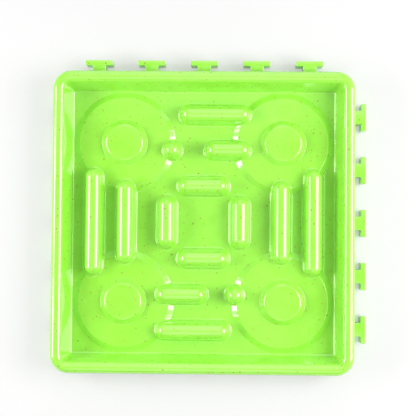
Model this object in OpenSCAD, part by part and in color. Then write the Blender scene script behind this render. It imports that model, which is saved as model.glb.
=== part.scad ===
// Dog lick mat: a square moulded tray with a rounded hollow rim. Raised discs, buttons, ribs and
// studs stand on its floor. T-shaped lugs on two sides hook behind the notched skirt of the next mat.
// The moulding has one even wall and is hollow below, and it stands on four small rubber feet.

/* [Tray] */
// Outside width of the square tray at the foot of its skirt
tray_w = 200; // [180:1:260]
// Height of the moulding from its underside to the crest of the rim
tray_h = 19; // [17:0.5:26]
// Width of the rim from the foot of the skirt to the foot of the inner wall
rim_w = 12.2; // [10.5:0.1:16]
// Radius of the rounded crest of the rim
crest_r = 4; // [3.2:0.1:4.8]
// Thickness of the rim, the discs, the buttons and the ribs
wall_t = 2.2; // [1.6:0.1:2.6]
// Thickness of the floor
floor_t = 2.4; // [1.6:0.1:3.2]
// Lean of the skirt towards the tray, in degrees
skirt_draft = 1.5; // [0.5:0.5:3]
// Inside corner radius at the foot of the inner wall
wall_corner_r = 0.5; // [0.5:0.1:2.4]
// Radius of the fillet between the inner wall and the floor
wall_fillet_r = 1.5; // [1:0.1:3.5]

/* [Discs and buttons] */
// Radius of a disc at the floor
disc_base_r = 34; // [30:0.1:36]
// Radius of the flat top of a disc
disc_top_r = 30.2; // [26:0.1:31]
// Height of a disc above the floor
disc_h = 2.6; // [2.3:0.1:3.5]
// Gap between a disc and the foot of the inner wall
disc_gap = 0.9; // [0.7:0.1:4]
// Radius of the rounded top edge of a disc
disc_edge_r = 0.8; // [0.5:0.1:2]
// Radius of the fillet at the foot of a disc
disc_foot_r = 1; // [0.5:0.1:2.5]
// Radius of a button at the top of its disc
button_r = 15.3; // [12:0.1:18]
// Height of a button above its disc
button_h = 3.8; // [3:0.1:5]
// Radius of the rounded top edge of a button
button_edge_r = 2; // [1:0.1:3]
// Lean of a button's side, in degrees
button_draft = 42; // [10:1:45]

/* [Ribs and studs] */
// Radius of the round top of a rib or a stud
rib_r = 5.2; // [4.5:0.1:6]
// Height of a rib or a stud above the floor
rib_h = 11; // [8:0.1:13]
// Lean of a rib's sides, in degrees
rib_draft = 14; // [6:1:16]
// Radius of the fillet at the foot of a rib
rib_fillet_r = 1.5; // [1:0.1:3.5]
// Distance from the inner wall to the middle of an outer side rib
side_inset = 14.7; // [14:0.1:19]
// Spacing of the two ribs on the west and the east side
side_pitch = 21.3; // [18:0.1:24]
// Length of an outer side rib
outer_side_l = 73; // [50:0.5:76]
// Length of an inner side rib
inner_side_l = 57; // [40:0.5:60]
// Distance from the inner wall to the middle of an outer rib on the north and the south side
end_inset = 15.9; // [14:0.1:19]
// Spacing of the two ribs on the north and the south side
end_pitch = 23.8; // [20:0.1:26]
// Sideways distance from a disc's middle to the near ends of the two end ribs that lap over it
end_off = 20.9; // [19:0.1:26]
// Sideways distance from the next disc's middle to the far end of the outer rib on the north side
north_outer_far = 36.2; // [32:0.1:42]
// The same on the south side
south_outer_far = 34.1; // [32:0.1:42]
// Sideways distance from a disc's middle to the stud at its edge
stud_off = 31.6; // [30:0.1:35]
// Distance from the middle of the north stud to the inner rib in line with it
north_stud_gap = 21.5; // [14:0.1:24]
// The same on the south side
south_stud_gap = 17.8; // [14:0.1:24]
// Distance from the middle to the two central ribs that run north and south
centre_x = 24.3; // [20:0.1:27]
// Length of these two ribs
centre_ns_l = 36; // [26:0.1:38]
// Distance from the middle to the two central ribs that run east and west
centre_y = 24.2; // [20:0.1:26]
// Length of these two ribs
centre_ew_l = 35.2; // [26:0.1:40]

/* [Lugs and notches] */
// Number of lugs on the north side and on the east side
lug_count = 5; // [3:2:5]
// Spacing of the lugs
lug_pitch = 35; // [28:0.5:36]
// Height of a lug
lug_h = 10.8; // [8:0.1:11]
// Width of a lug's stem
stem_w = 8.8; // [6:0.1:12]
// Gap between the skirt's foot and a lug's crossbar, which takes the skirt of the next mat
lug_gap = 4; // [3:0.1:5]
// Width of a lug's crossbar
bar_w = 18; // [14:0.1:22]
// Thickness of a lug's crossbar
bar_t = 3.3; // [2.4:0.1:3.6]
// Room round a lug in the notch that it sits in
notch_clear = 0.6; // [0.3:0.1:1]

/* [Feet] */
// Diameter of a rubber foot
foot_d = 9; // [6:0.5:10]
// Height of a rubber foot
foot_h = 1; // [0.6:0.1:2]
// Distance from the inner walls to the middle of a foot
foot_inset = 7.5; // [6.5:0.1:8]
// Rounding of a foot's lower edge
foot_edge_r = 0.4; // [0.2:0.1:0.5]

/* [Hidden] */
$fn = 96;
lime = [0.69, 0.98, 0.37];
rubber_grey = [0.62, 0.65, 0.6];

// An arc takes in this much of the line that runs into it, and a cut reaches this far past a face
run_in = 0.01;
cut = 1;

// Half the width of the floor, and the levels of the underside and of the floor
floor_half = tray_w / 2 - rim_w;
under_z = foot_h;
floor_z = under_z + floor_t;

// Rim section: u runs outwards from the foot of the inner wall, and v upwards from the underside
crest_v = tray_h - crest_r;
crest_u = rim_w - (crest_r + crest_v * sin(skirt_draft)) / cos(skirt_draft);
wall_rise = crest_v - floor_t;
wall_angle = atan2(wall_rise, crest_u) + asin(crest_r / norm([crest_u, wall_rise]));
wall_normal = [-sin(wall_angle), cos(wall_angle)];
skirt_normal = [cos(skirt_draft), sin(skirt_draft)];
crest = [crest_u, crest_v];
side_l = 2 * (floor_half - wall_corner_r);
wall_fillet_run = wall_fillet_r * tan(wall_angle / 2);

// Rib section: x runs across the rib and y upwards from the floor
crown = [0, rib_h - rib_r];
rib_normal = [cos(rib_draft), sin(rib_draft)];
rib_foot = rib_r / cos(rib_draft) + crown[1] * tan(rib_draft);
hollow_foot = rib_foot - wall_t / cos(rib_draft);
fillet_run = rib_fillet_r / tan(45 + rib_draft / 2);

// Discs and buttons
disc_c = floor_half - disc_gap - disc_base_r;
disc_slope = atan2(disc_h, disc_base_r - disc_top_r);
disc_hollow_r = disc_top_r - wall_t * tan(disc_slope / 2);
disc_normal = [sin(disc_slope), cos(disc_slope)];
disc_foot_run = disc_foot_r * tan(disc_slope / 2);
button_normal = [cos(button_draft), sin(button_draft)];
button_edge_y = button_h - button_edge_r;
button_edge_x = button_r - button_edge_y * tan(button_draft) - button_edge_r / cos(button_draft);
button_edge = [button_edge_x, button_edge_y];
button_hollow_r = button_r - button_h * tan(button_draft) - wall_t;

// Quarters of the tray and its sides, each with the turn that brings the east side there
CORNERS = [["ne", 0], ["nw", 90], ["sw", 180], ["se", 270]];
SIDES = [["east", 0], ["north", 90], ["west", 180], ["south", 270]];
LUG_SIDES = [SIDES[0], SIDES[1]];
STRIPS = [SIDES[0], SIDES[2]];

// Ribs: name, place, turn from east, length. Turned half round, only the end ribs' lengths differ.
outer_x = floor_half - side_inset;
inner_x = outer_x - side_pitch;
outer_y = floor_half - end_inset;
inner_y = outer_y - end_pitch;
stud_x = disc_c - stud_off;
function end_x(length) = disc_c - end_off - length / 2;
north_outer_l = 2 * disc_c - end_off - north_outer_far;
south_outer_l = 2 * disc_c - end_off - south_outer_far;
north_inner_l = disc_c - end_off + stud_x - north_stud_gap;
south_inner_l = disc_c - end_off + stud_x - south_stud_gap;
RIBS = [
    ["rib_west_outer", [-outer_x, 0], 90, outer_side_l],
    ["rib_west_inner", [-inner_x, 0], 90, inner_side_l],
    ["rib_east_outer", [outer_x, 0], 90, outer_side_l],
    ["rib_east_inner", [inner_x, 0], 90, inner_side_l],
    ["rib_north_outer", [end_x(north_outer_l), outer_y], 0, north_outer_l],
    ["rib_north_inner", [end_x(north_inner_l), inner_y], 0, north_inner_l],
    ["rib_south_outer", [-end_x(south_outer_l), -outer_y], 0, south_outer_l],
    ["rib_south_inner", [-end_x(south_inner_l), -inner_y], 0, south_inner_l],
    ["rib_centre_west", [-centre_x, 0], 90, centre_ns_l],
    ["rib_centre_east", [centre_x, 0], 90, centre_ns_l],
    ["rib_centre_north", [0, centre_y], 0, centre_ew_l],
    ["rib_centre_south", [0, -centre_y], 0, centre_ew_l]
];
STUDS = [
    ["stud_north", [-stud_x, inner_y]],
    ["stud_south", [stud_x, -inner_y]]
];

// A point or a direction on the other side of a section
function flip(p) = [-p[0], p[1]];

// A lug's place along its side, counted from the north-west
function lug_y(i) = ((lug_count + 1) / 2 - i) * lug_pitch;

// A disc's place in its quarter of the tray, and whether something of a given reach can meet it
function quarter(turn) = disc_c * [cos(turn) - sin(turn), sin(turn) + cos(turn)];
function meets_disc(turn, place, reach) = norm(quarter(turn) - place) < disc_base_r + disc_foot_run + reach;

module in_quarter(turn) {
    rotate([0, 0, turn]) translate([disc_c, disc_c, floor_z]) children();
}

// How far a rib or a stud reaches from its middle
rib_reach = rib_foot + fillet_run;
function reach_of(length) = length / 2 + fillet_run;

// The corner where the tangents of an arc meet, for the outward normals of its two ends
function corner_tip(centre, r, n1, n2) = centre + r * (n1 + n2) / (1 + n1 * n2);

// The middle of an arc that rounds a corner
function arc_centre(tip, r, n1, n2) = tip - r * (n1 + n2) / (1 + n1 * n2);

// What a round of radius r takes off that corner
module corner_waste(centre, r, n1, n2) {
    reach = r + cut;
    difference() {
        polygon([centre, centre + reach * n1, corner_tip(centre, reach, n1, n2), centre + reach * n2]);
        translate(centre) circle(r + run_in);
    }
}

// The rim's section at a depth below its skin: sloping inner wall, round crest and straight skirt
module rim_outline(depth, foot_in, foot_out) {
    r = crest_r - depth;
    difference() {
        polygon(concat(foot_in, [corner_tip(crest, r, wall_normal, skirt_normal)], foot_out));
        corner_waste(crest, r, wall_normal, skirt_normal);
    }
}

module rim_section() {
    hollow_in = wall_t / sin(wall_angle) - (floor_t + cut) / tan(wall_angle);
    hollow_out = rim_w - wall_t / cos(skirt_draft) + cut * tan(skirt_draft);
    fillet_c = [-wall_fillet_run, floor_t + wall_fillet_r];
    fillet_top = [0, floor_t] + wall_fillet_run * [cos(wall_angle), sin(wall_angle)];
    difference() {
        rim_outline(0, [[0, 0], [0, floor_t], [fillet_c[0], floor_t], fillet_c, fillet_top], [[rim_w, 0]]);
        rim_outline(wall_t, [[hollow_in, -cut]], [[hollow_out, -cut]]);
        translate(fillet_c) circle(wall_fillet_r + run_in);
    }
}

// The rim on the east side, between the mitres where its fillet meets those of its neighbours
module rim_length() {
    intersection() {
        translate([floor_half, side_l / 2, under_z])
            rotate([90, 0, 0]) linear_extrude(side_l) rim_section();
        translate([0, 0, under_z - cut]) linear_extrude(tray_h + 2 * cut)
            polygon([[0, 0], [tray_w, -tray_w], [tray_w, tray_w]]);
    }
}

// One straight side of the rim, turned to its place. A notched side takes the lugs of the next mat.
module rim_side(turn, notched) {
    notch_w = stem_w + 2 * notch_clear;
    notch_h = lug_h + notch_clear;
    color(lime) rotate([0, 0, turn]) difference() {
        rim_length();
        disc_bodies([floor_half, 0], side_l / 2);
        if (notched) for (i = [1 : lug_count])
            translate([tray_w / 2 - wall_t - cut, lug_y(i) - notch_w / 2, under_z - cut])
                cube([wall_t + 2 * cut, notch_w, notch_h + cut]);
    }
}

module rim_corner(turn) {
    color(lime) rotate([0, 0, turn])
        translate([floor_half - wall_corner_r, floor_half - wall_corner_r, under_z])
            rotate_extrude(angle = 90) intersection() {
                translate([wall_corner_r, 0]) rim_section();
                translate([0, -cut]) square([wall_corner_r + rim_w + cut, tray_h + 2 * cut]);
            }
}

// The floor in plan, open below the hollow discs, ribs and studs
module floor_plan() {
    difference() {
        square(2 * floor_half, center = true);
        for (c = CORNERS) rotate(c[1])
            corner_waste([side_l / 2, side_l / 2], wall_corner_r, [1, 0], [0, 1]);
        for (c = CORNERS) rotate(c[1]) translate([disc_c, disc_c]) circle(disc_hollow_r);
        for (r = RIBS) translate(r[1]) rotate(r[2]) {
            straight = r[3] / 2 - rib_foot;
            polygon([
                [-straight, -hollow_foot], [straight, -hollow_foot],
                [straight, hollow_foot], [-straight, hollow_foot]
            ]);
            for (side = [-1, 1]) translate([side * straight, 0]) circle(hollow_foot);
        }
        for (s = STUDS) translate(s[1]) circle(hollow_foot);
    }
}

// The stretch of floor between the two ribs of a side, which their hollows and two discs close in
module strip_area(turn) {
    rotate(turn) translate([inner_x, -disc_c]) square([side_pitch, 2 * disc_c]);
}

module floor_panel() {
    color(lime) translate([0, 0, under_z]) linear_extrude(floor_t) difference() {
        floor_plan();
        for (s = STRIPS) strip_area(s[1]);
    }
}

module floor_strip(turn) {
    color(lime) translate([0, 0, under_z]) linear_extrude(floor_t) intersection() {
        floor_plan();
        strip_area(turn);
    }
}

// A disc's half section: flat top, rounded edge, sloping side and a fillet that runs out on the floor
module disc_outline() {
    top = [disc_top_r, disc_h];
    foot_c = [disc_base_r + disc_foot_run, disc_foot_r];
    foot_top = [disc_base_r, 0] + disc_foot_run * [-cos(disc_slope), sin(disc_slope)];
    difference() {
        polygon([[0, 0], [foot_c[0], 0], foot_c, foot_top, top, [0, disc_h]]);
        corner_waste(arc_centre(top, disc_edge_r, disc_normal, [0, 1]), disc_edge_r, disc_normal, [0, 1]);
        translate(foot_c) circle(disc_foot_r + run_in);
    }
}

// Everything below the skin of the discs that meet a place, from the floor up
module disc_bodies(place, reach) {
    for (c = CORNERS) if (meets_disc(c[1], place, reach)) in_quarter(c[1]) rotate_extrude() disc_outline();
}

// A disc is a shallow cone with a flat top, open below its button and below the ribs that cross its edge
module disc(turn) {
    roof = disc_h - wall_t;
    color(lime) difference() {
        in_quarter(turn) rotate_extrude() difference() {
            disc_outline();
            translate([0, -cut]) square([disc_hollow_r, roof + cut]);
            translate([0, -cut]) square([button_hollow_r, disc_h + 2 * cut]);
        }
        for (r = RIBS) if (meets_disc(turn, r[1], reach_of(r[3]))) place_rib(r) rib_form(r[3]) rib_hollow();
        for (s = STUDS) if (meets_disc(turn, s[1], rib_reach)) place_stud(s) rib_end(360) rib_hollow();
    }
}

// A button is a round cap with a leaning side and a rounded edge
module button(turn) {
    color(lime) in_quarter(turn) translate([0, 0, disc_h]) rotate_extrude() difference() {
        polygon([
            [0, 0], [button_r, 0],
            corner_tip(button_edge, button_edge_r, button_normal, [0, 1]), [0, button_h]
        ]);
        corner_waste(button_edge, button_edge_r, button_normal, [0, 1]);
        translate([0, -cut]) square([button_hollow_r, button_h - wall_t + cut]);
    }
}

// A rib's section: round crown, leaning sides and a fillet that runs out on the floor
module rib_outline() {
    fillet_c = [rib_foot + fillet_run, rib_fillet_r];
    fillet_top = [rib_foot, 0] + fillet_run * [-sin(rib_draft), cos(rib_draft)];
    half = [[fillet_c[0], 0], fillet_c, fillet_top];
    difference() {
        polygon(concat(
            half,
            [corner_tip(crown, rib_r, rib_normal, flip(rib_normal))],
            [for (i = [2 : -1 : 0]) flip(half[i])]
        ));
        corner_waste(crown, rib_r, rib_normal, flip(rib_normal));
        for (c = [fillet_c, flip(fillet_c)]) translate(c) circle(rib_fillet_r + run_in);
    }
}

// The hollow below a rib's section, which goes straight down through the floor
module rib_hollow() {
    r = rib_r - wall_t;
    half = [[hollow_foot, -floor_t - cut], [hollow_foot, 0]];
    difference() {
        polygon(concat(
            half,
            [corner_tip(crown, r, rib_normal, flip(rib_normal))],
            [for (i = [1 : -1 : 0]) flip(half[i])]
        ));
        corner_waste(crown, r, rib_normal, flip(rib_normal));
    }
}

module rib_section() {
    difference() {
        rib_outline();
        rib_hollow();
    }
}

// A section turned about its middle, for a stud or the end of a rib
module rib_end(angle) {
    rotate_extrude(angle = angle) intersection() {
        children();
        translate([0, -floor_t - cut]) square([rib_reach, floor_t + cut + rib_h]);
    }
}

// A section carried along a rib: two halves, each with a round end
module rib_form(length) {
    straight = length / 2 - rib_foot;
    for (turn = [0, 180]) rotate([0, 0, turn]) translate([-straight, 0, 0]) {
        rotate([90, 0, 90]) linear_extrude(straight) children();
        rotate([0, 0, 90]) rib_end(180) children();
    }
}

module place_rib(r) {
    translate([r[1][0], r[1][1], floor_z]) rotate([0, 0, r[2]]) children();
}

module place_stud(s) {
    translate([s[1][0], s[1][1], floor_z]) children();
}

// A rib stands on the floor, and on a disc where it crosses the disc's edge
module rib(r) {
    color(lime) difference() {
        place_rib(r) rib_form(r[3]) rib_section();
        disc_bodies(r[1], reach_of(r[3]));
    }
}

module stud(s) {
    color(lime) difference() {
        place_stud(s) rib_end(360) rib_section();
        disc_bodies(s[1], rib_reach);
    }
}

// A T-shaped lug whose stem grows out of the leaning skirt
module lug(turn, i) {
    skirt_x = tray_w / 2;
    root = lug_h * tan(skirt_draft) + cut;
    bar_x = lug_gap + bar_t;
    half = [[-root, -stem_w / 2], [lug_gap, -stem_w / 2], [lug_gap, -bar_w / 2], [bar_x, -bar_w / 2]];
    color(lime) rotate([0, 0, turn]) translate([0, lug_y(i), under_z]) difference() {
        translate([skirt_x, 0, 0]) linear_extrude(lug_h) polygon(concat(
            half, [for (k = [3 : -1 : 0]) [half[k][0], -half[k][1]]]
        ));
        translate([skirt_x, stem_w, 0]) rotate([90, 0, 0]) linear_extrude(2 * stem_w) polygon([
            [cut * tan(skirt_draft), -cut], [-(lug_h + cut) * tan(skirt_draft), lug_h + cut],
            [-root - cut, lug_h + cut], [-root - cut, -cut]
        ]);
    }
}

// A flat rubber pad with a rounded lower edge, stuck below a corner of the floor
module foot(turn) {
    place = floor_half - foot_inset;
    edge = [foot_d / 2 - foot_edge_r, foot_edge_r];
    color(rubber_grey) rotate([0, 0, turn]) translate([place, place, 0]) rotate_extrude() difference() {
        square([foot_d / 2, foot_h]);
        corner_waste(edge, foot_edge_r, [1, 0], [0, -1]);
    }
}

floor_panel();
for (s = STRIPS) floor_strip(s[1]);
for (s = SIDES) rim_side(s[1], s[1] >= 180);
for (c = CORNERS) rim_corner(c[1]);
for (c = CORNERS) disc(c[1]);
for (c = CORNERS) button(c[1]);
for (r = RIBS) rib(r);
for (s = STUDS) stud(s);
for (s = LUG_SIDES) for (i = [1 : lug_count])
    lug(s[1], i);
for (c = CORNERS) foot(c[1]);
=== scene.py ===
# %% [markdown]
# # A dog lick mat moulded in lime plastic
#
# The mat is one injection moulding: a square tray with a rounded hollow rim, four raised discs with round
# buttons, rounded ribs and studs, and T-shaped lugs that hook into the next mat. Its construction comes
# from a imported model, the frame. This lesson dresses that frame: shells whose feet blend into the floor, a
# glossy plastic with fibre flecks, and a light tent with a soft lamp on the left and on the right.

# %% The frame
import math

import bmesh
import bpy
import numpy as np
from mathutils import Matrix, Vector


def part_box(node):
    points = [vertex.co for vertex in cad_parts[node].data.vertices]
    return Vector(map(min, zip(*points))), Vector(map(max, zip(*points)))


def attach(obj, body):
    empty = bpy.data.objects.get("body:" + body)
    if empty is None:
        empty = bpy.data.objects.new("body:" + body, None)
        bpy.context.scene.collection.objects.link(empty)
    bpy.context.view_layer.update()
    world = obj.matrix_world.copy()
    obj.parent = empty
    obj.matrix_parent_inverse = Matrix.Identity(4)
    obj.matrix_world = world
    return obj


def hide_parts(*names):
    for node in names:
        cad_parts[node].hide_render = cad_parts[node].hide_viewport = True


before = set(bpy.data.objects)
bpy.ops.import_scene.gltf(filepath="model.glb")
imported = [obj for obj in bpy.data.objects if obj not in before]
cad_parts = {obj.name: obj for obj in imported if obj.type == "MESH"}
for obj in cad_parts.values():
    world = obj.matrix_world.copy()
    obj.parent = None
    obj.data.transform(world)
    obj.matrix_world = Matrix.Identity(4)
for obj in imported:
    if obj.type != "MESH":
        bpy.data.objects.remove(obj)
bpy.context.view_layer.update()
MM = 0.001
print("nodes in the frame:", len(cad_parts))

# %% [markdown]
# ## Sizes
#
# Places, levels and overall sizes are read from the frame, so every new piece sits where its node is. What
# a box can't tell, such as a radius or a lean, is a named value. All shapes are worked out in millimetres
# and turned into metres when they become a mesh.

# %% Levels, places and sizes


def node_box(name):
    """Lowest and highest corner of a node, in millimetres."""
    low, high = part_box(name)
    return np.array(low) / MM, np.array(high) / MM


def node_middle(name):
    """Middle of a node's box in plan, in millimetres."""
    low, high = node_box(name)
    return (low[:2] + high[:2]) / 2


floor_low, floor_high = node_box("floor_panel")
rim_high = node_box("rim_east")[1]
button_low, button_high = node_box("button_ne")
under_z = floor_low[2]
floor_z = floor_high[2]
floor_half = floor_high[0]
rim_w = rim_high[0] - floor_half
crest_z = rim_high[2]
disc_c = node_middle("button_ne")[0]
disc_h = button_low[2] - floor_z
button_r = (button_high[0] - button_low[0]) / 2
button_h = button_high[2] - button_low[2]
rib_h = node_box("rib_centre_east")[1][2] - floor_z
wall_t = 2.2
print(f"floor {2 * floor_half:.1f} mm wide at {floor_z:.2f} mm")
print(f"rim {rim_w:.1f} mm wide, crest at {crest_z:.2f} mm")

# %% [markdown]
# ## The camera
#
# The mat is seen from almost straight above, a little off its middle and slightly turned. The height of the
# camera sets how much of the inner walls and of the lugs' sides shows, so it comes before anything else.
# Its place is in millimetres and its turn in degrees.

# %% Camera
CAMERA_PLACE = (14.47, -12.64, 667.0)
CAMERA_TURN = (1.933, 0.967, 0.483)
CAMERA_LENS = 85.86
CAMERA_SENSOR = 36.0
CAMERA_NEAR = 10.0

camera_data = bpy.data.cameras.new("camera_above")
camera_data.lens = CAMERA_LENS
camera_data.sensor_width = CAMERA_SENSOR
camera_data.clip_start = CAMERA_NEAR * MM
camera = bpy.data.objects.new("camera_above", camera_data)
camera.location = [value * MM for value in CAMERA_PLACE]
camera.rotation_euler = [math.radians(value) for value in CAMERA_TURN]
bpy.context.scene.collection.objects.link(camera)
bpy.context.scene.camera = camera
print("camera", CAMERA_PLACE, "mm, lens", CAMERA_LENS, "mm")

# %% [markdown]
# ## Fibre flecks
#
# The plastic is filled with plant fibre, which shows as small brown flecks below a glossy skin. They could
# be painted as an image, but a field of flecks that is worked out from the position needs no image and runs
# on across the joints between pieces. A Voronoi pattern gives one point per cell and a random colour per
# cell: one random number decides whether the cell holds a fleck, another how large it is, and a third how
# strong its tint is. A fine noise shifts the position first, so the flecks aren't plain circles.

# %% Node helpers


def add_node(tree, kind, settings=None, values=None):
    """A shader node with its settings and its plain input values."""
    node = tree.nodes.new(kind)
    for name, value in (settings or {}).items():
        setattr(node, name, value)
    for name, value in (values or {}).items():
        node.inputs[name].default_value = value
    return node


def math_node(tree, operation, first, second):
    """A Math node of two values, each a socket or a plain number."""
    node = add_node(tree, "ShaderNodeMath", {"operation": operation})
    for socket, value in zip(node.inputs, (first, second)):
        if isinstance(value, bpy.types.NodeSocket):
            tree.links.new(value, socket)
        else:
            socket.default_value = value
    return node.outputs[0]


# %% Fleck group
WOBBLE_NOISE = {"Scale": 1400.0, "Detail": 1.0}
WOBBLE_SHIFT = 0.6
FLECK_LEAST = 0.4
FLECK_CORE = 0.55


def make_fleck_group():
    """Flecks: where a cell's first random number is below Share, a fleck lies about the cell's point. Its
    radius is Size * (FLECK_LEAST + second random number), as a share of the cell. The mask is 1 inside
    FLECK_CORE of that radius and falls softly to 0 at the edge. Tone is the third random number."""
    group = bpy.data.node_groups.new("fibre_flecks", "ShaderNodeTree")
    for name, kind in (("Vector", "Vector"), ("Cells", "Float"), ("Share", "Float"), ("Size", "Float")):
        group.interface.new_socket(name, in_out="INPUT", socket_type="NodeSocket" + kind)
    for name in ("Mask", "Tone"):
        group.interface.new_socket(name, in_out="OUTPUT", socket_type="NodeSocketFloat")
    given = group.nodes.new("NodeGroupInput")
    result = group.nodes.new("NodeGroupOutput")
    wobble = add_node(group, "ShaderNodeTexNoise", values=WOBBLE_NOISE)
    group.links.new(given.outputs["Vector"], wobble.inputs["Vector"])
    shift = add_node(group, "ShaderNodeVectorMath", {"operation": "MULTIPLY_ADD"})
    group.links.new(wobble.outputs["Color"], shift.inputs[0])
    shift.inputs[1].default_value = [WOBBLE_SHIFT * MM] * 3
    group.links.new(given.outputs["Vector"], shift.inputs[2])
    cells = add_node(group, "ShaderNodeTexVoronoi", {"feature": "F1"})
    group.links.new(shift.outputs["Vector"], cells.inputs["Vector"])
    group.links.new(given.outputs["Cells"], cells.inputs["Scale"])
    random = add_node(group, "ShaderNodeSeparateColor")
    group.links.new(cells.outputs["Color"], random.inputs["Color"])
    chosen = math_node(group, "LESS_THAN", random.outputs["Red"], given.outputs["Share"])
    spread = math_node(group, "ADD", random.outputs["Green"], FLECK_LEAST)
    radius = math_node(group, "MULTIPLY", spread, given.outputs["Size"])
    inner = math_node(group, "MULTIPLY", radius, FLECK_CORE)
    edge = add_node(group, "ShaderNodeMapRange", {"interpolation_type": "SMOOTHSTEP"})
    group.links.new(cells.outputs["Distance"], edge.inputs["Value"])
    group.links.new(radius, edge.inputs["From Min"])
    group.links.new(inner, edge.inputs["From Max"])
    mask = math_node(group, "MULTIPLY", edge.outputs["Result"], chosen)
    group.links.new(mask, result.inputs["Mask"])
    group.links.new(random.outputs["Blue"], result.inputs["Tone"])
    return group


fleck_group = make_fleck_group()
print("node group", fleck_group.name, "with", len(fleck_group.nodes), "nodes")

# %% [markdown]
# ## The lime plastic
#
# A glossy moulding has two things to show: its own colour, which comes back from below the surface, and a
# clear reflection on top. A coat over the base gives the crisp white lines of the two lamps, while the base
# stays a little softer. A fine noise mottles the colour, and two fields of flecks tint it: many pale brown
# ones and fewer dark ones.

# %% Material helpers


def mix_colour(tree, factor, first, second):
    """A colour mix of two colours, each a socket or a plain colour."""
    node = add_node(tree, "ShaderNodeMix", {"data_type": "RGBA"})
    tree.links.new(factor, node.inputs["Factor"])
    for socket, value in zip((node.inputs[6], node.inputs[7]), (first, second)):
        if isinstance(value, bpy.types.NodeSocket):
            tree.links.new(value, socket)
        else:
            socket.default_value = value
    return node.outputs[2]


def new_material(name, constants):
    """A new material, its node tree and its shader, whose plain inputs take the constants."""
    material = bpy.data.materials.new(name)
    material.use_nodes = True
    shader = material.node_tree.nodes["Principled BSDF"]
    for socket, value in constants.items():
        shader.inputs[socket].default_value = value
    return material, material.node_tree, shader


def add_noise(tree, place, values):
    """A noise from 0 to 1 over places in metres."""
    noise = add_node(tree, "ShaderNodeTexNoise", values=values)
    tree.links.new(place, noise.inputs["Vector"])
    return noise.outputs["Fac"]


def set_roughness(tree, shader, noise, ends):
    """Roughness that follows a noise from the first end to the second."""
    rough = add_node(tree, "ShaderNodeMapRange", values={"To Min": ends[0], "To Max": ends[1]})
    tree.links.new(noise, rough.inputs["Value"])
    tree.links.new(rough.outputs["Result"], shader.inputs["Roughness"])


def set_bump(tree, shader, noise, strength, depth):
    """Small waves of the surface that follow a noise, with their depth in millimetres."""
    bump = add_node(tree, "ShaderNodeBump", values={"Strength": strength, "Distance": depth * MM})
    tree.links.new(noise, bump.inputs["Height"])
    tree.links.new(bump.outputs["Normal"], shader.inputs["Normal"])


# %% Plastic material
LIME = (0.35, 0.84, 0.070, 1.0)
LIME_DEEP = (0.30, 0.77, 0.048, 1.0)
GLOSS = {"IOR": 1.5, "Coat Weight": 1.0, "Coat Roughness": 0.06, "Coat IOR": 1.7}
GLOSS_ROUGHNESS = (0.2, 0.3)
MOTTLE_NOISE = {"Scale": 110.0, "Detail": 4.0}
MOTTLE_ENDS = {"From Min": 0.2, "From Max": 0.8}
WAVE_NOISE = {"Scale": 160.0, "Detail": 2.0}
WAVE_STRENGTH = 0.15
WAVE_DEPTH = 0.05
TONE_LEAST = 0.6
FLECK_FIELDS = (
    {"Cells": 330.0, "Share": 0.90, "Size": 0.20, "colour": (0.34, 0.25, 0.04, 1.0), "strength": 0.5},
    {"Cells": 240.0, "Share": 0.45, "Size": 0.13, "colour": (0.22, 0.16, 0.02, 1.0), "strength": 0.5},
)


def make_plastic():
    """Lime plastic: a mottled colour, two fields of flecks, and a slight waviness of the skin. A fleck's
    tint is its mask times strength * (TONE_LEAST + Tone)."""
    material, tree, shader = new_material("lime_plastic", GLOSS)
    place = add_node(tree, "ShaderNodeTexCoord").outputs["Object"]
    noise = add_noise(tree, place, MOTTLE_NOISE)
    mottle = add_node(tree, "ShaderNodeMapRange", values=MOTTLE_ENDS)
    tree.links.new(noise, mottle.inputs["Value"])
    colour = mix_colour(tree, mottle.outputs["Result"], LIME_DEEP, LIME)
    for field in FLECK_FIELDS:
        flecks = add_node(tree, "ShaderNodeGroup", {"node_tree": fleck_group})
        tree.links.new(place, flecks.inputs["Vector"])
        for name in ("Cells", "Share", "Size"):
            flecks.inputs[name].default_value = field[name]
        tone = math_node(tree, "ADD", flecks.outputs["Tone"], TONE_LEAST)
        depth = math_node(tree, "MULTIPLY", tone, field["strength"])
        share = math_node(tree, "MULTIPLY", flecks.outputs["Mask"], depth)
        colour = mix_colour(tree, share, colour, field["colour"])
    tree.links.new(colour, shader.inputs["Base Color"])
    set_roughness(tree, shader, noise, GLOSS_ROUGHNESS)
    set_bump(tree, shader, add_noise(tree, place, WAVE_NOISE), WAVE_STRENGTH, WAVE_DEPTH)
    return material


lime_plastic = make_plastic()
print("material", lime_plastic.name)

# %% [markdown]
# ## The rubber of the feet
#
# The small pads below the corners are matt grey rubber. A fine grain in the bump and in the colour keeps
# them from looking like painted plastic.

# %% Rubber material
RUBBER_DARK = (0.27, 0.30, 0.25, 1.0)
RUBBER_PALE = (0.41, 0.45, 0.39, 1.0)
MATT = {"Specular IOR Level": 0.3}
MATT_ROUGHNESS = (0.7, 0.9)
GRAIN_NOISE = {"Scale": 2500.0, "Detail": 4.0}
GRAIN_STRENGTH = 0.4
GRAIN_DEPTH = 0.1


def make_rubber():
    """Matt grey rubber: a fine noise moves its colour, its roughness and its bump a little."""
    material, tree, shader = new_material("foot_rubber", MATT)
    place = add_node(tree, "ShaderNodeTexCoord").outputs["Object"]
    grain = add_noise(tree, place, GRAIN_NOISE)
    colour = mix_colour(tree, grain, RUBBER_DARK, RUBBER_PALE)
    tree.links.new(colour, shader.inputs["Base Color"])
    set_roughness(tree, shader, grain, MATT_ROUGHNESS)
    set_bump(tree, shader, grain, GRAIN_STRENGTH, GRAIN_DEPTH)
    return material


foot_rubber = make_rubber()
print("material", foot_rubber.name)

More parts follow.
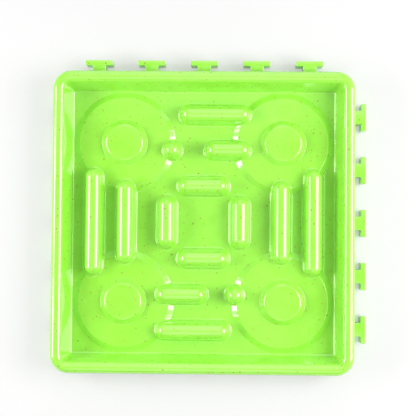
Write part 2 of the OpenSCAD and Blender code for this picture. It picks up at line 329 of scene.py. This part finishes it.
# %% [markdown]
# ## From arrays to pieces
#
# Every new piece is a grid: stations along a path, and the points of a section at each station. Neighbours
# on the grid make quads. Where stations meet, at the top of a round end or at a mitre, their points fall
# together and are merged, which closes poles and seams. Edges sharper than a set angle stay crisp.

# %% Mesh helpers
SHARP_ANGLE = math.radians(40)
MERGE_DISTANCE = 1e-7


def arc(centre, radius, start, end, count):
    """Points of an arc: centre + radius * (cos a, sin a), with a going evenly from start to end, in
    degrees."""
    angle = np.radians(np.linspace(start, end, count))
    return np.column_stack((centre[0] + radius * np.cos(angle), centre[1] + radius * np.sin(angle)))


def band_faces(stations, points, section_closed):
    """Quads between neighbours on a grid whose stations run round in a loop: the corners of the quad at
    station i and point j are (i, j), (i + 1, j), (i + 1, j + 1) and (i, j + 1)."""
    steps = points if section_closed else points - 1
    i, j = np.meshgrid(np.arange(stations), np.arange(steps), indexing="ij")
    here = i * points
    ahead = (i + 1) % stations * points
    below = (j + 1) % points
    return np.stack((here + j, ahead + j, ahead + below, here + below), axis=-1)


def add_piece(name, points, faces, nodes):
    """A closed lime piece from points in millimetres. It rides on the mat and stands for these nodes."""
    mesh = bpy.data.meshes.new(name)
    mesh.from_pydata((points.reshape(-1, 3) * MM).tolist(), [], faces)
    work = bmesh.new()
    work.from_mesh(mesh)
    bmesh.ops.remove_doubles(work, verts=work.verts, dist=MERGE_DISTANCE)
    bmesh.ops.recalc_face_normals(work, faces=work.faces)
    work.to_mesh(mesh)
    work.free()
    mesh.shade_smooth()
    mesh.set_sharp_from_angle(angle=SHARP_ANGLE)
    mesh.materials.append(lime_plastic)
    piece = bpy.data.objects.new(name, mesh)
    bpy.context.scene.collection.objects.link(piece)
    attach(piece, "root")
    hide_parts(*nodes)
    return piece


print(f"edges sharper than {math.degrees(SHARP_ANGLE):.0f} degrees stay crisp")

# %% [markdown]
# ## The ground and a ball that rolls on it
#
# The ribs and the wall meet the floor in a soft fillet, and where a disc lies in the way the fillet climbs
# onto it. A fillet is what a ball leaves when it rolls along the corner: it touches the flank on one side
# and the ground on the other. So the ground is written as a height over the plan, and for every station the
# height of the ball's middle is found by halving an interval. The same function serves walls, ribs and
# studs.

# %% The ground
disc_base_r = 34.0
disc_top_r = 30.2
disc_edge_r = 0.8
disc_foot_r = 1.0
disc_slope = math.atan2(disc_h, disc_base_r - disc_top_r)
edge_run = disc_edge_r * math.tan(disc_slope / 2)
foot_run = disc_foot_r * math.tan(disc_slope / 2)


def disc_rise(r):
    """Height of a disc above the floor at radius r: flat top, round edge, straight slope, round foot,
    floor. The rounds are arcs: h = centre + sqrt(radius^2 - distance^2), or minus for the foot."""
    edge_in = disc_top_r - edge_run
    edge_out = disc_top_r + edge_run * math.cos(disc_slope)
    foot_in = disc_base_r - foot_run * math.cos(disc_slope)
    foot_out = disc_base_r + foot_run
    edge = disc_h - disc_edge_r + np.sqrt(disc_edge_r**2 - np.clip(r - edge_in, 0, disc_edge_r) ** 2)
    slope = (disc_base_r - r) * math.tan(disc_slope)
    foot = disc_foot_r - np.sqrt(disc_foot_r**2 - np.clip(foot_out - r, 0, disc_foot_r) ** 2)
    zones = [r < edge_in, r < edge_out, r < foot_in, r < foot_out]
    return np.select(zones, [disc_h, edge, slope, foot], 0.0)


def ground(plan):
    """Height above the floor at points of the plan. The four discs are mirror images of each other."""
    return disc_rise(np.hypot(np.abs(plan[..., 0]) - disc_c, np.abs(plan[..., 1]) - disc_c))


print(f"disc slope {math.degrees(disc_slope):.1f} degrees")
print(f"disc foot ends at radius {disc_base_r + foot_run:.2f} mm")

# %% The rolling ball
BALL_SAMPLES = np.linspace(-1, 1, 401)
HALVINGS = 26
FILLET_POINTS = 13
TOE_RUN = 0.4
TOE_DIP = 0.03


def rolling_fillet(start, away, middle_at, radius):
    """Fillet sections, one per station. In a station's upright plane q runs from start along away, and h up
    from the floor. middle_at(h) gives q of the ball's middle while it touches the flank, and the angle of
    the flank's normal. The ball lies on the ground where h is the largest of ground(q + e) +
    sqrt(radius^2 - e^2) over e. The section is the ball's arc from the flank to the ground, and one more
    point that dips just below the ground."""
    e = radius * BALL_SAMPLES
    rise = np.sqrt(radius**2 - e**2)
    low = np.zeros(len(start))
    high = np.full(len(start), radius + 2 * disc_h)
    for _ in range(HALVINGS):
        h = (low + high) / 2
        q, normal = middle_at(h)
        reach = (q[:, None] + e)[..., None]
        touch = ground(start[:, None, :] + away[:, None, :] * reach) + rise
        rests = h >= touch.max(axis=1)
        low = np.where(rests, low, h)
        high = np.where(rests, h, high)
    contact = touch.argmax(axis=1)
    first = math.pi + normal
    last = 2 * math.pi + np.arctan2(-rise[contact], e[contact])
    angle = first[:, None] + (last - first)[:, None] * np.linspace(0, 1, FILLET_POINTS)
    arc_q = q[:, None] + radius * np.cos(angle)
    arc_h = h[:, None] + radius * np.sin(angle)
    toe_q = arc_q[:, -1] + TOE_RUN
    toe_h = ground(start + away * toe_q[:, None]) - TOE_DIP
    return np.column_stack((arc_q, toe_q)), np.column_stack((arc_h, toe_h)), normal


print("fillets have", FILLET_POINTS, "points and a toe")

# %% [markdown]
# ## The rim
#
# The rim is a hollow tube, open below: a leaning inner wall, a round crest and a nearly upright skirt. On
# the real mat it runs round without a seam, so it is one piece here. Its closed section is carried along
# four straight sides and round four corners. Inside the corners the fillet can't turn as tightly as the
# wall, so its points stop at the mitre. On two sides the skirt has notches for the lugs of the next mat: the
# quads there are left out, and the cut is closed with a ceiling and two cheeks.

# %% Rim section
QUARTER = math.pi / 2
CREST_POINTS = 25
TUBE_POINTS = 13
LIP_POINTS = 5
crest_r = 4.0
skirt_draft = 1.5
wall_corner_r = 0.5
wall_fillet_r = 1.5
lip_r = 0.4
notch_clear = 0.6
stem_w = 8.8
lug_low, lug_high = node_box("lug_east_1")
notch_z = lug_high[2] + notch_clear
notch_half = stem_w / 2 + notch_clear

lean = math.radians(skirt_draft)
skirt_rise = crest_z - crest_r - under_z
crest_u = rim_w - (crest_r + skirt_rise * math.sin(lean)) / math.cos(lean)
crest_c = np.array((crest_u, crest_z - crest_r))
wall_rise = crest_c[1] - floor_z
wall_angle = math.atan2(wall_rise, crest_c[0]) + math.asin(crest_r / math.hypot(crest_c[0], wall_rise))
wall_lean = QUARTER - wall_angle


def skirt_u(z, depth):
    """Distance of the skirt from the wall's foot at height z, at a depth below its outer skin."""
    return rim_w - (z - under_z) * math.tan(lean) - depth / math.cos(lean)


def wall_u(z, depth):
    """Distance of the inner wall from its own foot at height z, at a depth below its inner skin."""
    return (z - floor_z) / math.tan(wall_angle) + depth / math.sin(wall_angle)


def rim_section():
    """Section from the top of the wall's fillet over the crest, down the skirt, and back through the
    hollow. Also the numbers of the outer and the inner point at the height of the notches."""
    wall_end = 90 + math.degrees(wall_angle)
    lip_z = under_z + lip_r
    lip_c = (skirt_u(lip_z, lip_r), lip_z)
    crest = arc(crest_c, crest_r, wall_end, skirt_draft, CREST_POINTS)
    outside = [crest, [(skirt_u(notch_z, 0), notch_z)]]
    lip = [arc(lip_c, lip_r, skirt_draft, -90, LIP_POINTS)]
    inside = [
        [(skirt_u(under_z, wall_t), under_z), (skirt_u(notch_z, wall_t), notch_z)],
        arc(crest_c, crest_r - wall_t, skirt_draft, wall_end, TUBE_POINTS),
        [(wall_u(under_z, wall_t), under_z), (0, under_z), (0, floor_z - TOE_DIP)],
    ]
    notch_outer = sum(len(part) for part in outside) - 1
    notch_inner = notch_outer + len(lip[0]) + 2
    return np.concatenate(outside + lip + inside), notch_outer, notch_inner


rim_points, notch_outer, notch_inner = rim_section()
print(f"rim section of {len(rim_points)} points, wall at {math.degrees(wall_angle):.1f} degrees")

# %% Rim stations and skin
SIDE_STEPS = 120
CORNER_STEPS = 24
SIDES = ("east", "north", "west", "south")
CORNERS = ("ne", "nw", "sw", "se")
NOTCHED_SIDES = ("west", "south")
LUG_COUNT = 5
STATION_DIGITS = 4
lug_along = np.array([node_middle(f"lug_east_{i}")[1] for i in range(1, LUG_COUNT + 1)])
side_end = floor_half - wall_corner_r
evenly = np.linspace(-side_end, side_end, SIDE_STEPS)
along = np.concatenate((evenly, lug_along - notch_half, lug_along + notch_half))
along = np.unique(np.round(along, STATION_DIGITS))
corner_turn = np.linspace(0, QUARTER, CORNER_STEPS + 1)[1:-1]


def wall_ball(h):
    """Place of a ball that touches the leaning wall: q = r / cos(wall_lean) - h tan(wall_lean)."""
    return wall_fillet_r / math.cos(wall_lean) - h * math.tan(wall_lean), np.full(len(h), wall_lean)


def rim_quarter():
    """Points of one side and the corner that follows it. Along the side x = floor_half + u and y = along,
    cut off at the mitre y = x. Round the corner the distance from its axis is u + wall_corner_r, where that
    is positive."""
    foot = np.column_stack((np.full(len(along), floor_half), along))
    inwards = np.tile((-1.0, 0.0), (len(along), 1))
    q, h, _ = rolling_fillet(foot, inwards, wall_ball, wall_fillet_r)
    fillet_u = -q[:, ::-1]
    fillet_z = floor_z + h[:, ::-1]
    section = np.tile(rim_points, (len(along), 1, 1))
    u = np.column_stack((fillet_u, section[..., 0]))
    z = np.column_stack((fillet_z, section[..., 1]))
    limit = floor_half + u
    side = np.stack((limit, np.clip(along[:, None], -limit, limit), z), axis=-1)
    from_axis = u[-1] + wall_corner_r
    axis = side_end + np.minimum(from_axis, 0)
    out = np.maximum(from_axis, 0)
    corner_x = axis + out * np.cos(corner_turn)[:, None]
    corner_y = axis + out * np.sin(corner_turn)[:, None]
    corner = np.stack((corner_x, corner_y, np.tile(z[-1], (len(corner_turn), 1))), axis=-1)
    return np.concatenate((side, corner))


def turned(points, angle):
    """Points turned about the upright axis by an angle a: (x cos a - y sin a, x sin a + y cos a, z)."""
    c, s = math.cos(angle), math.sin(angle)
    x, y, z = np.moveaxis(points, -1, 0)
    return np.stack((c * x - s * y, s * x + c * y, z), axis=-1)


def make_rim():
    """The whole rim: the quarter turned four times, with notches in the west and the south skirt."""
    quarter = rim_quarter()
    points = np.concatenate([turned(quarter, k * QUARTER) for k in range(len(SIDES))])
    stations, count = points.shape[:2]
    faces = band_faces(stations, count, True)
    keep = np.ones(faces.shape[:2], bool)
    outer = count - len(rim_points) + notch_outer
    inner = count - len(rim_points) + notch_inner
    extra = []
    for side in NOTCHED_SIDES:
        base = SIDES.index(side) * len(quarter)
        for middle in lug_along:
            first = base + int(np.argmin(np.abs(along - (middle - notch_half))))
            last = base + int(np.argmin(np.abs(along - (middle + notch_half))))
            keep[first:last, outer:inner] = False
            here = np.arange(first, last) * count
            ahead = here + count
            extra += np.column_stack((here + outer, ahead + outer, ahead + inner, here + inner)).tolist()
            extra += [[edge * count + j for j in range(outer, inner + 1)] for edge in (first, last)]
    nodes = [f"rim_{side}" for side in SIDES] + [f"corner_{corner}" for corner in CORNERS]
    return add_piece("rim", points, faces[keep].tolist() + extra, nodes)


rim = make_rim()
print("rim:", len(rim.data.polygons), "faces")

# %% [markdown]
# ## Ribs and studs
#
# A rib is a bar with a round crown and leaning sides, and it is hollow below. Its section is carried round
# a stadium: along one side, round an end, back along the other side and round the other end. The two sides
# meet on the ridge. A stud is a rib with no length. The ball of the fillet touches the leaning side on the
# floor, and the round crown where a disc lifts it.

# %% Rib sections
rib_r = 5.2
rib_draft = 14.0
rib_lean = math.radians(rib_draft)
rib_fillet_r = 1.5
crown_h = rib_h - rib_r
rib_foot = rib_r / math.cos(rib_lean) + crown_h * math.tan(rib_lean)
hollow_r = rib_r - wall_t
hollow_foot = rib_foot - wall_t / math.cos(rib_lean)
CROWN_POINTS = 17
HOLLOW_POINTS = 9
RIB_STEP = 1.0
END_STEPS = 28


def rib_ball(h):
    """Place of a ball that touches a rib: on the crown its middle is (rib_r + r) from the crown's middle,
    and on the leaning side it runs down parallel to that side."""
    far = rib_r + rib_fillet_r
    normal = np.maximum(np.arcsin(np.clip((h - crown_h) / far, -1, 1)), rib_lean)
    below = np.maximum(crown_h + far * math.sin(rib_lean) - h, 0)
    return far * np.cos(normal) + below * math.tan(rib_lean), normal


def rib_loop(straight):
    """Stations round a stadium: place along the ridge and direction away from it."""
    steps = max(1, round(2 * straight / RIB_STEP))
    run = np.linspace(-straight, straight, steps + 1) if straight else np.zeros(1)
    turn = np.linspace(-90, 90, END_STEPS + 1)[1:-1]
    ridge = np.concatenate((run, np.full(len(turn), straight), run[::-1], np.full(len(turn), -straight)))
    angle = np.concatenate((np.full(len(run), -90), turn, np.full(len(run), 90), turn + 180))
    return ridge, np.radians(angle)


def make_rib(name, place, turn, length):
    """A hollow rib: crown arc, fillet, underside and hollow at every station of the stadium."""
    ridge, angle = rib_loop(max(length / 2 - rib_foot, 0))
    c, s = round(math.cos(turn)), round(math.sin(turn))
    start = np.array(place) + np.column_stack((c * ridge, s * ridge))
    away = np.column_stack((np.cos(angle + turn), np.sin(angle + turn)))
    fillet_q, fillet_h, normal = rolling_fillet(start, away, rib_ball, rib_fillet_r)
    sweep = QUARTER + (normal - QUARTER)[:, None] * np.linspace(0, 1, CROWN_POINTS)
    hollow = np.tile(np.linspace(rib_lean, QUARTER, HOLLOW_POINTS), (len(start), 1))
    rim_q = np.full((len(start), 1), hollow_foot)
    rim_h = np.maximum(ground(start + away * hollow_foot) - wall_t, 0)[:, None]
    q = np.column_stack((rib_r * np.cos(sweep), fillet_q, rim_q, hollow_r * np.cos(hollow)))
    crown_rise = crown_h + rib_r * np.sin(sweep)
    hollow_rise = crown_h + hollow_r * np.sin(hollow)
    h = np.column_stack((crown_rise, fillet_h, rim_h, hollow_rise))
    plan = start[:, None, :] + away[:, None, :] * q[..., None]
    points = np.concatenate((plan, floor_z + h[..., None]), axis=-1)
    faces = band_faces(*q.shape, False).reshape(-1, 4).tolist()
    return add_piece(name + "_skin", points, faces, [name])


print(f"ribs are {2 * rib_foot:.2f} mm wide at the floor and {rib_h:.2f} mm high")

# %% Ribs and studs in place
outer_side_l = 73.0
inner_side_l = 57.0
centre_ns_l = 36.0
centre_ew_l = 35.2
end_off = 20.9
stud_off = 31.6
OUTER_FAR = {"north": 36.2, "south": 34.1}
STUD_GAP = {"north": 21.5, "south": 17.8}

outer_x = node_middle("rib_east_outer")[0]
inner_x = node_middle("rib_east_inner")[0]
centre_x = node_middle("rib_centre_east")[0]
centre_y = node_middle("rib_centre_north")[1]
outer_y = node_middle("rib_north_outer")[1]
inner_y = node_middle("rib_north_inner")[1]
stud_x = disc_c - stud_off
near_x = disc_c - end_off

layout = []
for side, sign in (("east", 1), ("west", -1)):
    layout += [
        (f"rib_{side}_outer", (sign * outer_x, 0.0), QUARTER, outer_side_l),
        (f"rib_{side}_inner", (sign * inner_x, 0.0), QUARTER, inner_side_l),
        (f"rib_centre_{side}", (sign * centre_x, 0.0), QUARTER, centre_ns_l),
    ]
for side, sign in (("north", 1), ("south", -1)):
    outer_l = near_x + disc_c - OUTER_FAR[side]
    inner_l = near_x + stud_x - STUD_GAP[side]
    layout += [
        (f"rib_{side}_outer", (sign * (near_x - outer_l / 2), sign * outer_y), 0.0, outer_l),
        (f"rib_{side}_inner", (sign * (near_x - inner_l / 2), sign * inner_y), 0.0, inner_l),
        (f"rib_centre_{side}", (0.0, sign * centre_y), 0.0, centre_ew_l),
        (f"stud_{side}", (-sign * stud_x, sign * inner_y), 0.0, 0.0),
    ]
for name, place, turn, length in layout:
    rib = make_rib(name, place, turn, length)
    print(rib.name, len(rib.data.polygons), "faces")

# %% [markdown]
# ## Buttons
#
# A button is a round cap with a flat top, a soft edge and a leaning side. A cap is a section turned about
# its axis, so one array of points and one array of angles give the whole surface. A thin fillet closes it to
# its disc.

# %% Button caps
button_edge_r = 2.0
button_draft = 42.0
button_fillet_r = 0.6
ROUND_STEPS = 96
CAP_EDGE_POINTS = 13
CAP_FILLET_POINTS = 7


def revolve(centre, section, level):
    """A section of (distance q, height) points turned about an upright axis through (cx, cy):
    x = cx + q cos a, y = cy + q sin a."""
    angle = np.linspace(0, 2 * math.pi, ROUND_STEPS, endpoint=False)
    q, h = section[:, 0], section[:, 1]
    x = centre[0] + np.cos(angle)[:, None] * q
    y = centre[1] + np.sin(angle)[:, None] * q
    points = np.stack((x, y, np.tile(level + h, (ROUND_STEPS, 1))), axis=-1)
    return points, band_faces(ROUND_STEPS, len(q), False).reshape(-1, 4).tolist()


def button_section():
    """Half section of a cap: top, round edge, side, thin fillet, and back through the hollow."""
    slope = math.radians(button_draft)
    edge_h = button_h - button_edge_r
    edge_q = button_r - edge_h * math.tan(slope) - button_edge_r / math.cos(slope)
    fillet_c = (button_r + button_fillet_r / math.tan((QUARTER + slope) / 2), button_fillet_r)
    hollow_q = button_r - button_h * math.tan(slope) - wall_t
    return np.concatenate((
        [(0, button_h), (edge_q / 2, button_h)],
        arc((edge_q, edge_h), button_edge_r, 90, button_draft, CAP_EDGE_POINTS),
        arc(fillet_c, button_fillet_r, 180 + button_draft, 270, CAP_FILLET_POINTS),
        [(fillet_c[0] + TOE_RUN, -TOE_DIP), (hollow_q, -TOE_DIP), (hollow_q, button_h - wall_t)],
        [(0, button_h - wall_t)],
    ))


for corner in CORNERS:
    middle = node_middle(f"button_{corner}")
    points, faces = revolve(middle, button_section(), floor_z + disc_h)
    button = add_piece(f"button_{corner}_cap", points, faces, [f"button_{corner}"])
    print(button.name, "at", middle.round(1))

# %% [markdown]
# ## Lugs
#
# A lug is a flat T that stands on the skirt: a stem and a crossbar, which hooks behind the skirt of the next
# mat. Every corner of its outline is a quarter circle, and its upper and lower edges are rounded as well. An
# outline that is drawn in by e has the same arc centres, with r - e on outside corners and r + e on inside
# ones.

# %% Lug skin
lug_corner_r = 0.7
lug_edge_r = 0.45
lug_root = 0.6
lug_gap = 4.0
bar_w = lug_high[1] - lug_low[1]
bar_out = lug_high[0]
LUG_ARC_POINTS = 6
LUG_EDGE_POINTS = 6


def lug_outline(inset):
    """The T in plan, drawn in by inset, as an array (inset, point, xy). At a square corner v with
    directions in and out, the arc's middle is v + r (out - in), and its points are
    middle + r (in sin s - out cos s)."""
    root_x = floor_half + rim_w - lug_root
    neck_x = floor_half + rim_w + lug_gap
    half = [(root_x, -stem_w / 2), (neck_x, -stem_w / 2), (neck_x, -bar_w / 2), (bar_out, -bar_w / 2)]
    corner = np.array(half + [(x, -y) for x, y in half[::-1]])
    into = corner - np.roll(corner, 1, axis=0)
    into /= np.linalg.norm(into, axis=1)[:, None]
    out = np.roll(into, -1, axis=0)
    outside = into[:, 0] * out[:, 1] - into[:, 1] * out[:, 0] > 0
    middle = corner + lug_corner_r * (out - into)
    radius = lug_corner_r + np.where(outside, -1, 1) * np.asarray(inset)[:, None]
    sweep = np.linspace(0, QUARTER, LUG_ARC_POINTS)[:, None]
    direction = into[:, None, :] * np.sin(sweep) - out[:, None, :] * np.cos(sweep)
    outline = middle[None, :, None, :] + radius[:, :, None, None] * direction[None]
    return outline.reshape(len(radius), -1, 2)


def lug_points():
    """Rings of the lug from its lower edge to its upper edge: over a quarter circle the inset is
    r (1 - cos t) and the rise r (1 - sin t)."""
    t = np.linspace(QUARTER, 0, LUG_EDGE_POINTS)
    inset = lug_edge_r * (1 - np.cos(t))
    rise = lug_edge_r * (1 - np.sin(t))
    z = np.concatenate((lug_low[2] + rise, lug_high[2] - rise[::-1]))
    plan = lug_outline(np.concatenate((inset, inset[::-1])))
    return np.concatenate((plan, np.tile(z[:, None, None], (1, plan.shape[1], 1))), axis=-1)


def make_lug(name, turn, shift):
    """A lug turned to its side and moved along it, closed by a face above and a face below."""
    points = lug_points() + np.array((0, shift, 0))
    rings, count = points.shape[:2]
    ring, step = np.meshgrid(np.arange(rings - 1), np.arange(count), indexing="ij")
    ahead = (step + 1) % count
    lower = ring * count
    upper = lower + count
    sides = np.stack((lower + step, lower + ahead, upper + ahead, upper + step), axis=-1)
    caps = [list(range(count)), list(range((rings - 1) * count, rings * count))]
    return add_piece(name + "_skin", turned(points, turn), sides.reshape(-1, 4).tolist() + caps, [name])


for side, turn in (("east", 0.0), ("north", QUARTER)):
    for i, shift in enumerate(lug_along, start=1):
        lug = make_lug(f"lug_{side}_{i}", turn, shift)
    print("lugs on the", side, "side, each of", len(lug.data.polygons), "faces")

# %% [markdown]
# ## Finishes of the carried-over nodes
#
# The flat floor, the discs and the feet have the right shape already, so they only take their finish.

# %% Finishes
CARRIED = ["floor_panel", "floor_strip_east", "floor_strip_west"] + [f"disc_{corner}" for corner in CORNERS]
for name in CARRIED:
    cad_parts[name].material_slots[0].material = lime_plastic
for corner in CORNERS:
    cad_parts[f"foot_{corner}"].material_slots[0].material = foot_rubber
print("finished", len(CARRIED), "plastic nodes and", len(CORNERS), "feet")

# %% [markdown]
# ## The studio
#
# The mat lies on a white table in a light tent. Two long soft lamps, a low one on the left and a taller one
# on the right, draw the pairs of white lines along the ribs, and leave the channels beside the walls in
# shade. The tent's side walls fill that shade a little. Its end walls are bright near the horizon, which
# lights the crest of the rim, and a strip overhead gives the ribs that run across their flat sheen. The
# table looks half lit by itself to the camera, so that it stays white and keeps a soft shadow. The plastic
# mirrors less of that glow, or the shaded sides of the lugs would turn grey.

# %% Table
WHITE = (1.0, 1.0, 1.0, 1.0)
TABLE_PAINT = (0.69, 0.69, 0.69, 1.0)
TABLE_HALF = 1500.0
TABLE_GLOW = 0.44
MIRRORED_GLOW = 0.15


def make_table():
    """A large square at the level of the feet. Its finish mixes a share of white glow into a matt paint:
    TABLE_GLOW for the camera and MIRRORED_GLOW in reflections."""
    mesh = bpy.data.meshes.new("table")
    half = TABLE_HALF * MM
    square = [(-half, -half, 0), (half, -half, 0), (half, half, 0), (-half, half, 0)]
    mesh.from_pydata(square, [], [(0, 1, 2, 3)])
    table = bpy.data.objects.new("table", mesh)
    bpy.context.scene.collection.objects.link(table)
    material = bpy.data.materials.new("white_table")
    material.use_nodes = True
    tree = material.node_tree
    tree.nodes.clear()
    matt = add_node(tree, "ShaderNodeBsdfDiffuse", values={"Color": TABLE_PAINT})
    glow = add_node(tree, "ShaderNodeEmission", values={"Color": WHITE, "Strength": 1.0})
    path = add_node(tree, "ShaderNodeLightPath")
    seen = math_node(tree, "MULTIPLY", path.outputs["Is Camera Ray"], TABLE_GLOW)
    mirrored = math_node(tree, "MULTIPLY", path.outputs["Is Glossy Ray"], MIRRORED_GLOW)
    share = math_node(tree, "MAXIMUM", seen, mirrored)
    mix = add_node(tree, "ShaderNodeMixShader")
    tree.links.new(share, mix.inputs[0])
    tree.links.new(matt.outputs[0], mix.inputs[1])
    tree.links.new(glow.outputs[0], mix.inputs[2])
    output = add_node(tree, "ShaderNodeOutputMaterial")
    tree.links.new(mix.outputs[0], output.inputs["Surface"])
    mesh.materials.append(material)
    return table


table = make_table()
print(table.name, 2 * TABLE_HALF, "mm wide")

# %% Lamps
LAMPS = (
    {"name": "lamp_left", "place": (-530.0, 0.0, 280.0), "size": (420.0, 180.0), "radiance": 10.4},
    {"name": "lamp_right", "place": (530.0, 0.0, 385.0), "size": (450.0, 420.0), "radiance": 6.7},
)


def make_lamp(name, place, size, radiance):
    """A rectangular lamp that faces the middle of the mat. Its power is radiance * pi * area."""
    data = bpy.data.lights.new(name, "AREA")
    data.shape = "RECTANGLE"
    data.size = size[0] * MM
    data.size_y = size[1] * MM
    data.energy = radiance * math.pi * data.size * data.size_y
    lamp = bpy.data.objects.new(name, data)
    lamp.location = Vector(place) * MM
    lamp.rotation_euler = (-lamp.location).to_track_quat("-Z", "Y").to_euler()
    bpy.context.scene.collection.objects.link(lamp)
    return lamp


for lamp in LAMPS:
    make_lamp(**lamp)
print("lamps:", ", ".join(lamp["name"] for lamp in LAMPS))

# %% Tent
SIDE_LEVELS = (2.9, 2.1)
END_LEVELS = (2.2, 1.6)
HORIZON_POWER = 6.0
STRIPS = (
    {"sign": 1.0, "level": 1.2, "far": (0.02, 0.35)},
    {"sign": -1.0, "level": 1.15, "far": (0.40, 0.80)},
)
STRIP_EDGE = (0.36, 0.02)
STRIP_NEAR = (0.10, 0.22)
OPENING_LEVEL = 0.32
OPENING_EDGE = (0.10, 0.02)


def soft_step(tree, value, ends):
    """A smooth step of a value: 0 at the first end and 1 at the second."""
    step = add_node(tree, "ShaderNodeMapRange", {"interpolation_type": "SMOOTHSTEP"})
    tree.links.new(value, step.inputs["Value"])
    step.inputs["From Min"].default_value = ends[0]
    step.inputs["From Max"].default_value = ends[1]
    return step.outputs["Result"]


def make_tent():
    """A tent whose light depends on the direction (x, y, z). A side wall adds level x^2 z where x has its
    sign, and an end wall level y^2 (1 - z)^HORIZON_POWER where y has its sign. Overhead an opening adds
    OPENING_LEVEL z for |x| below OPENING_EDGE. Two strips, to the north and to the south, add their level
    for |x| below STRIP_EDGE, from |y| at STRIP_NEAR out to z at far. The camera itself sees white."""
    world = bpy.data.worlds.new("light_tent")
    bpy.context.scene.world = world
    world.use_nodes = True
    tree = world.node_tree
    sky = tree.nodes["Background"]
    sky.inputs["Color"].default_value = WHITE
    direction = add_node(tree, "ShaderNodeTexCoord").outputs["Generated"]
    part = add_node(tree, "ShaderNodeSeparateXYZ")
    tree.links.new(direction, part.inputs[0])
    up = part.outputs["Z"]
    low = math_node(tree, "POWER", math_node(tree, "SUBTRACT", 1.0, up), HORIZON_POWER)
    width = math_node(tree, "MULTIPLY", part.outputs["X"], part.outputs["X"])
    level = soft_step(tree, width, [edge**2 for edge in OPENING_EDGE])
    level = math_node(tree, "MULTIPLY", level, math_node(tree, "MULTIPLY", up, OPENING_LEVEL))
    for axis, height, levels in (("X", up, SIDE_LEVELS), ("Y", low, END_LEVELS)):
        for sign, wall_level in zip((1.0, -1.0), levels):
            towards = math_node(tree, "MULTIPLY", part.outputs[axis], sign)
            towards = math_node(tree, "MAXIMUM", towards, 0.0)
            square = math_node(tree, "MULTIPLY", towards, towards)
            wall = math_node(tree, "MULTIPLY", square, math_node(tree, "MULTIPLY", height, wall_level))
            level = math_node(tree, "ADD", wall, level)
    across = soft_step(tree, width, [edge**2 for edge in STRIP_EDGE])
    for strip in STRIPS:
        towards = math_node(tree, "MULTIPLY", part.outputs["Y"], strip["sign"])
        near = soft_step(tree, towards, STRIP_NEAR)
        shape = math_node(tree, "MULTIPLY", near, soft_step(tree, up, strip["far"]))
        shape = math_node(tree, "MULTIPLY", shape, math_node(tree, "MULTIPLY", across, strip["level"]))
        level = math_node(tree, "ADD", shape, level)
    path = add_node(tree, "ShaderNodeLightPath")
    strength = math_node(tree, "MAXIMUM", level, path.outputs["Is Camera Ray"])
    tree.links.new(strength, sky.inputs["Strength"])
    return world


tent = make_tent()
bpy.context.scene.view_settings.view_transform = "Standard"
print("world", tent.name, "with", len(tent.node_tree.nodes), "nodes")
